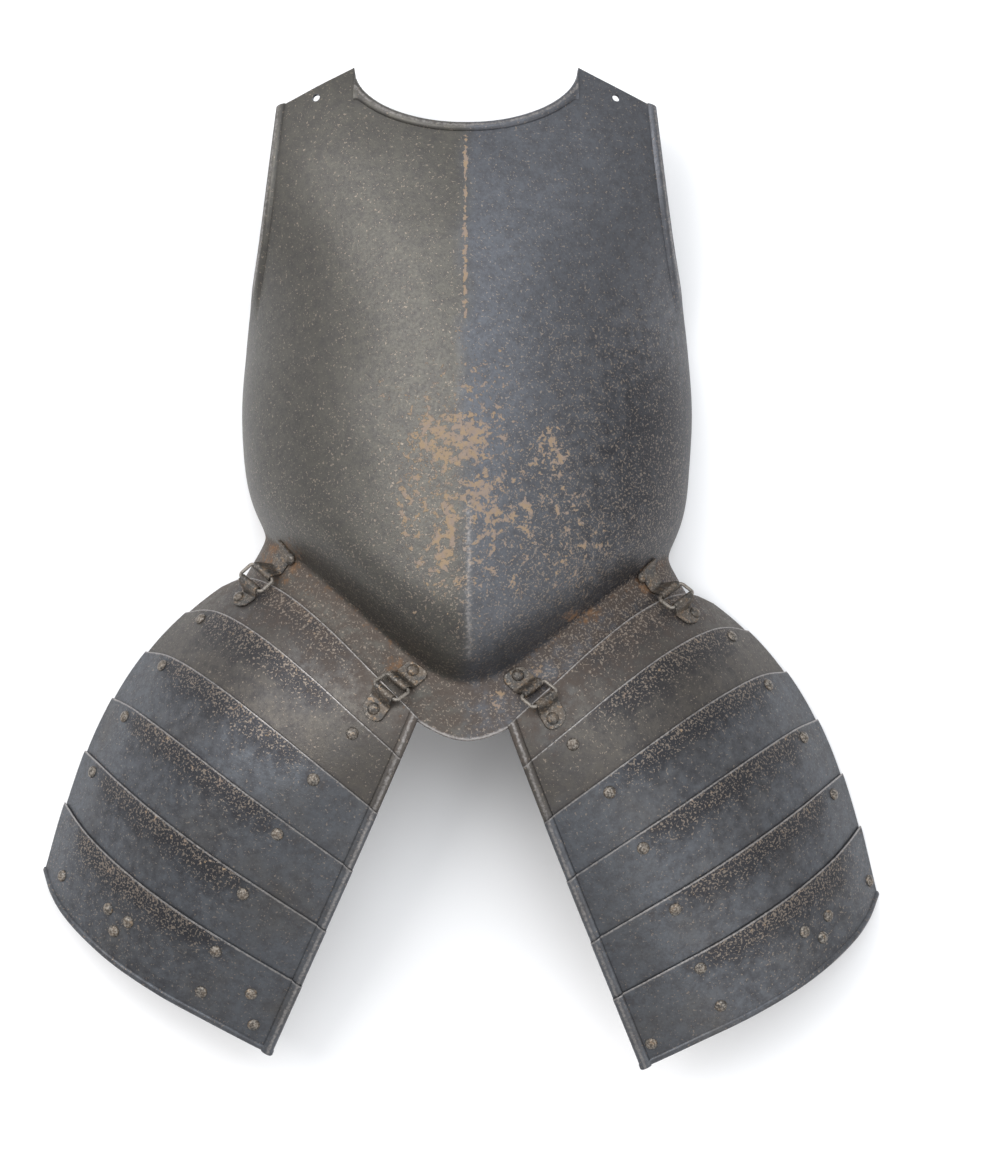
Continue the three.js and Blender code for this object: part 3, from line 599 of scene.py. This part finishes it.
def bore_strap_holes(plate, sheet):
    """Cuts a round hole for a strap at the outer end of each shoulder."""
    cutters = []
    for side in (-1, 1):
        s = np.array(side * STRAP_HOLE["s"])
        above = top_edge(s) - STRAP_HOLE["below_edge"] - waist_point(s)[..., 1]
        radius = STRAP_HOLE["radius"]
        profile = [(AXIS, -DRILL_REACH), (radius, -DRILL_REACH), (radius, DRILL_REACH), (AXIS, DRILL_REACH)]
        cutters.append(turned(profile, sheet.surface(s, above), sheet.normal(s, above)))
    points, quads = joined(cutters)
    mesh = bpy.data.meshes.new("strap_drill")
    mesh.from_pydata((points * MM).tolist(), [], quads.tolist())
    drill = bpy.data.objects.new("strap_drill", mesh)
    bpy.context.scene.collection.objects.link(drill)
    cut = plate.modifiers.new("holes", "BOOLEAN")
    cut.operation, cut.solver, cut.object = "DIFFERENCE", "EXACT", drill
    cut_plate = plate.evaluated_get(bpy.context.evaluated_depsgraph_get())
    plate.data = bpy.data.meshes.new_from_object(cut_plate)
    plate.modifiers.clear()
    bpy.data.objects.remove(drill)


# ---------------------------------------------------------------- tassets

def lame_end(number):
    return LAME_TOPS[number] + OVERLAP if number < len(LAME_TOPS) else 1.0


def lame_lift(number, down, across):
    """A lame's height over the master face: a tilt that leaves room for the lame under its lower end, and
    the beads of its inner edge and of the last lame's foot, with a groove beside the first."""
    start, end = LAME_TOPS[number - 1], lame_end(number)
    inward = across * BREADTH
    lift = TILT * (end - down) / (end - start)
    rolled = bead(inward, BEAD["width"], BEAD["height"])
    groove = BEAD["groove"] * np.exp(-(((inward - BEAD["width"] - 1) / BEAD["groove_width"]) ** 2))
    foot = bead((1 - down) * LENGTH, BEAD["foot_width"], BEAD["foot_height"]) if end == 1 else 0
    return lift + np.maximum(rolled, foot) - groove


def lame_dents(number, point):
    """The dents at a point of a lame, with the waves shifted from one lame to the next."""
    return hammering(point[..., 0] + LAME_DENTS["shift"] * number, point[..., 1], LAME_DENTS["depth"])


def lame_marks(number, down, across):
    """Where a lame is darker with painted shade and specked, below its upper edge, and pale with painted
    highlights and wear, at its edges and inner bead.
    """
    below = (down - LAME_TOPS[number - 1]) * LENGTH
    middle = step_up(0.18, 0.42, across) * (1 - step_up(0.8, 0.95, across))
    band = np.exp(-((below / 17) ** 2))
    # A painted highlight, with some wear, along the upper edge where it catches the light.
    edge = np.exp(-((below / 1.1) ** 2))
    inner = across * BREADTH
    # A painted highlight along the crest of the inner bead.
    crest = np.exp(-(((inner - 4) / 2.2) ** 2)) * 0.75
    first = 1.0 if number == 1 else 0.25 if number == 2 else 0.0
    stain = np.exp(-(((across - 0.12) / 0.14) ** 2)) + 0.8 * np.exp(-(((across - 0.72) / 0.14) ** 2))
    return {
        "rust": 0.5 * band * middle,
        "orange": first * 0.42 * stain * np.exp(-((below / 22) ** 2)),
        "specks": 0.35 + 1.0 * band * middle + 0.25 * step_up(0.3, 0.6, across) * (number == 6),
        # Painted shade, with some dark tone: darker in a band below the upper edge, and darker across the
        # middle.
        "shade_and_dark_tone": 0.62 * band * (0.35 + 0.65 * middle) + 0.3 * middle,
        "brown": 0.5 * first + 0.25 * band,
        # Pale on the upper edge and bead crest as painted highlights, and paler towards the outer end.
        "wear_and_highlight": np.maximum(edge * 0.9, crest) + 0.15 * step_up(0.85, 1, across),
        "warm": np.full_like(across, 0.75 if number < 3 else 0.3),
    }


def lame(number, hand, side_name):
    """One lame: rows are closer at its upper edge and, on the last one, at its foot; columns are closer in
    its inner bead."""
    sheet = tasset_sheet(hand)
    start, end = LAME_TOPS[number - 1], lame_end(number)
    rows = start + (end - start) * np.concatenate([[0, 0.008, 0.02, 0.04], np.linspace(0.07, 1, 30)])
    if number == len(LAME_TOPS):
        foot = 1 - np.linspace(BEAD["foot_width"], 0, 10) / LENGTH
        rows = np.concatenate([rows[rows < foot[0] - 0.004], foot])
    in_bead = BEAD["width"] * (1 - np.cos(np.linspace(0, 1, 13) * np.pi)) / 2
    columns = np.concatenate([in_bead, np.linspace(BEAD["width"], BREADTH, 118)[1:]]) / BREADTH
    down, across = np.meshgrid(rows, columns, indexing="ij")
    face = sheet.surface(down, across)
    clear = step_up(LAME_DENTS["clear"], LAME_DENTS["full"], across * BREADTH)
    dents = lame_dents(number, face) * clear
    lift = lame_lift(number, down, across)
    outer, inner = sheet.off(down, across, lift + dents), sheet.off(down, across, lift + dents - LAME)
    for points in (outer, inner):
        points[..., 2] = np.maximum(points[..., 2], 0)
    points, quads, source, side = closed_sheet(outer, inner)
    marks = lame_marks(number, down, across)
    marks = {name: values.reshape(-1)[source] * side for name, values in marks.items()}
    marks["brown"] += 0.7 * (1 - side)
    if hand < 0:
        points, quads = mirrored(points, quads)
    name = f"{side_name}_lame_{number}_steel"
    body, node = f"tasset_{side_name}", f"lame_{side_name}_{number}"
    piece(name, points, quads, LAME_STEEL, body, [node], marks)


def dome_rivet(point, normal, grip):
    """A rivet: a hammered dome over a sheet, its shank, and a flat tail under the grip."""
    lean = np.linspace(0, np.pi / 2, 9)
    head, shank, tail, low = RIVET["head"], RIVET["shank"], RIVET["tail"], -grip - RIVET["tail_thick"]
    dome = [(max(head * math.cos(a), AXIS), RIVET["dome"] * math.sin(a)) for a in lean]
    stem = [(AXIS, low), (tail, low), (tail, -grip), (shank, -grip), (shank, 0.05), (head, 0.0)]
    return turned(stem + dome[1:], point, normal)


def rivets(hand, side_name):
    """All the rivets of a tasset, as one piece that stands for all their nodes."""
    sheet = tasset_sheet(hand)
    places, nodes = [], []
    for row, (below, across) in zip(("mid", "edge"), ROW_RIVETS):
        for i, place in enumerate(across):
            places.append((i + 2, LAME_TOPS[i + 1] + below, place))
            nodes.append(f"rivet_{side_name}_{row}_{i + 2}")
    for i, (down, place) in enumerate(FOOT_RIVETS[side_name]):
        places.append((len(LAME_TOPS), down, place))
        nodes.append(f"rivet_{side_name}_foot_{i + 1}")
    parts = []
    for number, down, across in places:
        a, b = np.array(down), np.array(across)
        lift = lame_lift(number, a, b) + lame_dents(number, sheet.surface(a, b)) + RIVET["seat"]
        grip = GRIP["two"] if down < lame_end(number - 1) else GRIP["one"]
        parts.append(dome_rivet(sheet.off(a, b, lift), sheet.normal(a, b), grip))
    points, quads = joined(parts)
    if hand < 0:
        points, quads = mirrored(points, quads)
    marks = {"wear_and_highlight": np.full(len(points), 0.5)}
    piece(f"{side_name}_rivets", points, quads, RIVET_IRON, f"tasset_{side_name}", nodes, marks)


# ---------------------------------------------------------------- hasps

def hinge_line(side_name, hand):
    """A point and the direction of a tasset's hinge line, in the frame whose +X is away from the ridge."""
    joint = next(j for j in frame["record"]["behaviour"]["joints"] if j["child"] == f"tasset_{side_name}")
    flip = np.array([hand, 1, 1])
    axis = unit(np.array(joint["axis"]) * flip)
    return np.array(joint["pos_m"]) * flip / MM, axis * np.sign(axis[0])


def spot(place):
    """A pair of parameters as arrays, which is what the surfaces work on."""
    return tuple(np.array(float(value)) for value in place)


def leaf(sheet, lift_of, bar, along, axis, reach, guess):
    """A leaf: its strip runs round the bar from under it, over its top, and on along the sheet below to a
    rounded end. Its middle line blends from the bar's own direction to the sheet's."""
    radius = BARREL - LEAF["thick"] / 2
    across = np.linspace(-1, 1, 15)[None, :]
    normal = sheet.normal(*spot(guess))
    up = unit(normal - axis * (normal @ axis) - along * (normal @ along))
    turned_in = np.radians(np.linspace(-LEAF["wrap"], 0, 22)[:, None])
    half = np.full_like(turned_in, LEAF["width"] / 2 - LEAF["barrel_inset"])
    ring = bar + (half * across)[..., None] * axis + radius * (
        np.cos(turned_in)[..., None] * up + np.sin(turned_in)[..., None] * along)
    run = np.concatenate([np.linspace(0.6, 6, 7), np.linspace(7, reach, 22)])[:, None]
    past = np.clip(1 - (reach - run) / LEAF["round"], 0, 1)
    half = LEAF["width"] / 2 * np.sqrt(np.clip(1 - past**2.4, 0.03, 1))
    target = bar + run[..., None] * along + (half * across)[..., None] * axis
    a, b = sheet.nearest(target, guess)
    flat = sheet.off(a, b, lift_of(a, b) + LEAF["gap"] + LEAF["thick"] / 2)
    blend = step_up(0.5, 8.5, run)[..., None]
    tab = (target + up * radius) * (1 - blend) + flat * blend
    middle = np.concatenate([ring, tab])
    along_rows, along_columns = np.gradient(middle, axis=0), np.gradient(middle, axis=1)
    facing = unit(np.cross(along_rows, along_columns))
    facing = facing * np.sign((facing[-5, 7] * up).sum())
    return closed_sheet(middle + facing * LEAF["thick"] / 2, middle - facing * LEAF["thick"] / 2, 0.3)


def link_path(bar, low, axis):
    """The link's closed path: a rectangle with round corners, two of them at each bar."""
    along = unit(low - bar)
    wide, corner = LINK["half_width"] - LINK["corner"], LINK["corner"]
    long = np.linalg.norm(low - bar) - 2 * corner
    arcs = []
    corners = [(1, corner), (1, corner + long), (-1, corner + long), (-1, corner)]
    for i, (sideways, run) in enumerate(corners):
        turn = np.radians(np.linspace(0, 90, 8) + 90 * (i - 1))[:, None]
        round_off = corner * (np.cos(turn) * axis + np.sin(turn) * along)
        arcs.append(bar + axis * (sideways * wide) + along * run + round_off)
    return np.concatenate(arcs), np.cross(axis, along)


def hasp(hasp_row, hand, side_name):
    """A hasp: its upper leaf on the flange, its link, and its lower leaf on the first lame."""
    plate, tasset = plate_sheet(hand), tasset_sheet(hand)
    centre, axis = hinge_line(side_name, hand)
    near = plate.off(*spot(hasp_row["bar"]), hasp_row["lift"])
    bar = centre + axis * ((near - centre) @ axis)

    def foot_lift(a, b):
        return lame_lift(1, a, b)

    def flange_lift(a, b):
        return 0 * a

    foot = spot(hasp_row["foot"])
    low = tasset.off(*foot, foot_lift(*foot) + hasp_row["lift"])
    for _ in range(8):
        toward = unit((low - bar) - axis * ((low - bar) @ axis))
        a, b = tasset.nearest(bar + toward * LINK["pitch"], hasp_row["foot"])
        low = tasset.off(a, b, foot_lift(a, b) + hasp_row["lift"])
    toward = unit((low - bar) - axis * ((low - bar) @ axis))
    low = bar + toward * LINK["pitch"]
    name = hasp_row["name"]
    leaves = [
        ("upper", plate, flange_lift, bar, hasp_row["rivet"], "breastplate"),
        ("lower", tasset, foot_lift, low, hasp_row["foot"], f"tasset_{side_name}"),
    ]
    for which, sheet, lift_of, end, place, body in leaves:
        a, b = spot(place)
        head = sheet.off(a, b, lift_of(a, b) + LEAF["gap"] + LEAF["thick"])
        along = head - end
        along = unit(along - axis * (along @ axis))
        reach = np.linalg.norm(head - end) + LEAF["past_rivet"]
        points, quads, _, _ = leaf(sheet, lift_of, end, along, axis, reach, place)
        points, quads = joined([(points, quads), dome_rivet(head, sheet.normal(a, b), GRIP["leaf"])])
        if hand < 0:
            points, quads = mirrored(points, quads)
        marks = {"wear_and_highlight": np.full(len(points), 0.2)}
        node = f"hasp_leaf_{which}_{side_name}_{name}"
        piece(f"{side_name}_{name}_{which}_leaf", points, quads, IRON, body, [node], marks)
    path, around = link_path(bar, low, axis)
    points, quads = tube(path, LINK["wire"], around)
    if hand < 0:
        points, quads = mirrored(points, quads)
    marks = {"wear_and_highlight": np.full(len(points), 1.0)}
    node = f"hasp_link_{side_name}_{name}"
    piece(f"{side_name}_{name}_link", points, quads, IRON, f"tasset_{side_name}", [node], marks)


breastplate()
for side_name, hand in (("left", 1), ("right", -1)):
    for number in range(1, len(LAME_TOPS) + 1):
        lame(number, hand, side_name)
    rivets(hand, side_name)
    for row in HASPS:
        hasp(row, hand, side_name)

# ---------------------------------------------------------------- floor, light and camera


EYE = (0.0255, -0.008, 2.3)
FIELD = 22.0
AIM = (0, 0, 0.08)
FLOOR = {"reach": 6, "z": -0.0003}


def floor():
    """A plain pale surface, just under the part."""
    f = Finish("pale floor")
    inputs = {"Base Color": srgb(244, 244, 245), "Roughness": 0.85}
    f.node_output(f.node("ShaderNodeBsdfPrincipled", None, inputs))
    mesh = bpy.data.meshes.new("floor")
    reach = FLOOR["reach"]
    corners = [(-reach, -reach), (reach, -reach), (reach, reach), (-reach, reach)]
    mesh.from_pydata([(x, y, FLOOR["z"]) for x, y in corners], [], [(0, 1, 2, 3)])
    mesh.materials.append(f.material)
    ground = bpy.data.objects.new("floor", mesh)
    bpy.context.scene.collection.objects.link(ground)


def lamp(name, place, size, power, colour=(1, 1, 1)):
    """A square area light that faces the middle of the part."""
    light = bpy.data.lights.new(name, "AREA")
    light.size, light.energy, light.color = size, power, colour
    made = bpy.data.objects.new(name, light)
    made.location = place
    made.rotation_euler = (Vector(AIM) - Vector(place)).to_track_quat("-Z", "Y").to_euler()
    bpy.context.scene.collection.objects.link(made)


def camera():
    """Straight above the part, with a narrow field along the picture's long side."""
    data = bpy.data.cameras.new("camera")
    data.sensor_width = 36
    data.lens = data.sensor_width / 2 / math.tan(math.radians(FIELD) / 2)
    made = bpy.data.objects.new("camera", data)
    made.location = EYE
    bpy.context.scene.collection.objects.link(made)
    bpy.context.scene.camera = made


floor()
lamp("key", (-1.3, 0.9, 1.9), 1.6, 42)
lamp("sky", (0.5, 1.0, 2.3), 1.6, 26, (0.9, 0.95, 1.0))
lamp("fill", (1.3, -1.2, 1.6), 1.8, 14)
world = bpy.data.worlds.new("studio")
world.use_nodes = True
world.node_tree.nodes["Background"].inputs["Color"].default_value = (1, 1, 1, 1)
world.node_tree.nodes["Background"].inputs["Strength"].default_value = 0.7
bpy.context.scene.world = world
bpy.context.scene.view_settings.view_transform = "Standard"
camera()
